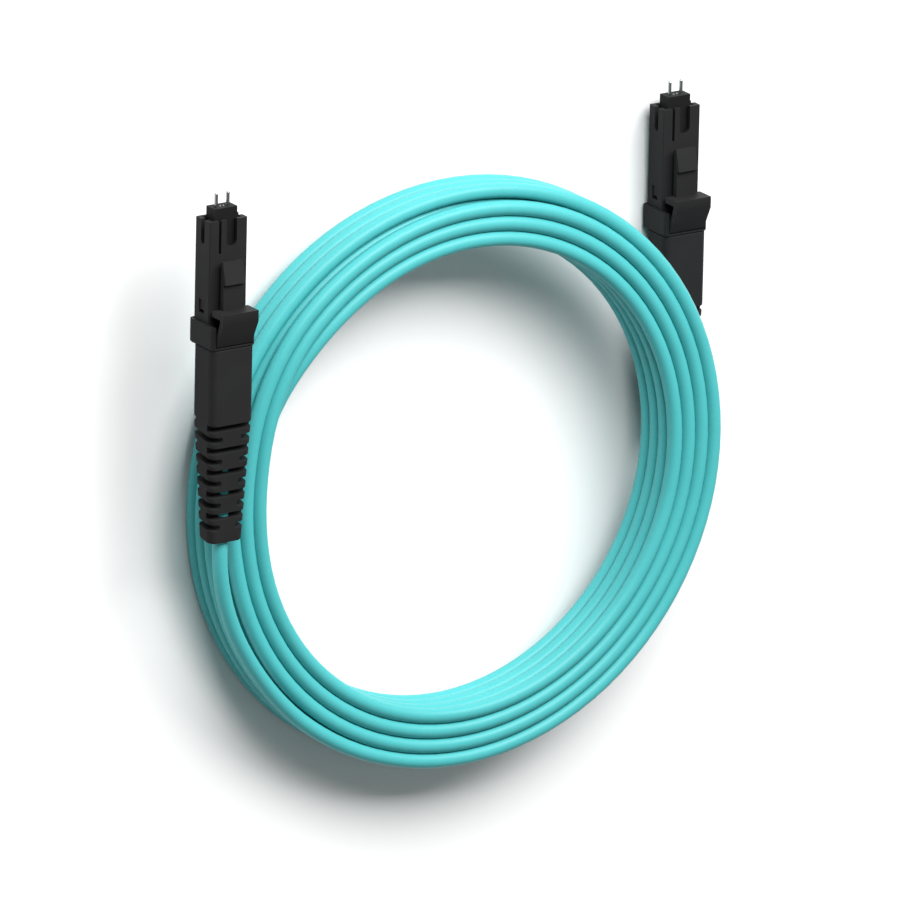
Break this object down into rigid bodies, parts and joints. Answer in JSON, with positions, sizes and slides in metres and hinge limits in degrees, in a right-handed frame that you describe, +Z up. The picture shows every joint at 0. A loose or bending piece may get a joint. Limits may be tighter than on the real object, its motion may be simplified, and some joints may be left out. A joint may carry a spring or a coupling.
{
  "type": "duplex fibre patch lead",
  "caption": "Coiled aqua fibre patch lead with a small black latching duplex plug at each end, with steel guide pins and slotted strain-relief boots.",
  "frame": {"origin": "the point of the floor under the centre of the coil", "axes": "+Z up from the floor, +Y the way both plug noses point, +X from the plug on the coil to the plug under it"},
  "size_m": [0.1273, 0.1258, 0.0243],
  "materials": {
    "black_plastic": "satin moulded",
    "boot_black": "satin moulded",
    "ferrule_black": "fine matte",
    "soft_black": "matte",
    "pin_steel": "ground",
    "crimp_black": "black oxide",
    "fibre_glass": "clear coated",
    "cable_aqua": "smooth jacket"
  },
  "bodies": {
    "lead": {"a_plug_housing": "black_plastic", "a_collar": "black_plastic", "a_spring": "pin_steel", "a_rear_body": "black_plastic", "a_crimp_sleeve": "crimp_black", "a_strain_boot": "boot_black", "b_plug_housing": "black_plastic", "b_collar": "black_plastic", "b_spring": "pin_steel", "b_rear_body": "black_plastic", "b_crimp_sleeve": "crimp_black", "b_strain_boot": "boot_black", "cable_coil": "cable_aqua", "a_cable_tail": "cable_aqua", "b_cable_tail": "cable_aqua"},
    "a_ferrule_unit": {"a_ferrule": "ferrule_black", "a_guide_pins": "pin_steel", "a_pin_keeper": "pin_steel", "a_ferrule_boot": "soft_black", "a_fibre_pair": "fibre_glass"},
    "a_latch_unit": {"a_latch_lever": "black_plastic"},
    "b_ferrule_unit": {"b_ferrule": "ferrule_black", "b_guide_pins": "pin_steel", "b_pin_keeper": "pin_steel", "b_ferrule_boot": "soft_black", "b_fibre_pair": "fibre_glass"},
    "b_latch_unit": {"b_latch_lever": "black_plastic"}
  },
  "joints": [
    {"name": "a_ferrule_slide", "type": "slide", "parent": "lead", "child": "a_ferrule_unit", "axis": [0.0012, -0.9991, -0.0425], "range_m": [0, 0.001], "stiffness_N_per_m": 150, "deforming": ["a_spring"]},
    {"name": "a_latch_hinge", "type": "hinge", "parent": "lead", "child": "a_latch_unit", "pos_m": [-0.06055, 0.03829, 0.02124], "axis": [-0.9983, 0.0012, -0.0583], "range_deg": [0, 3], "stiffness_Nm_per_rad": 0.02},
    {"name": "b_ferrule_slide", "type": "slide", "parent": "lead", "child": "b_ferrule_unit", "axis": [0.0012, -0.9991, -0.0425], "range_m": [0, 0.001], "stiffness_N_per_m": 150, "deforming": ["b_spring"]},
    {"name": "b_latch_hinge", "type": "hinge", "parent": "lead", "child": "b_latch_unit", "pos_m": [0.05664, 0.03857, 0.00855], "axis": [-0.9983, 0.0012, -0.0583], "range_deg": [0, 3], "stiffness_Nm_per_rad": 0.02}
  ]
}
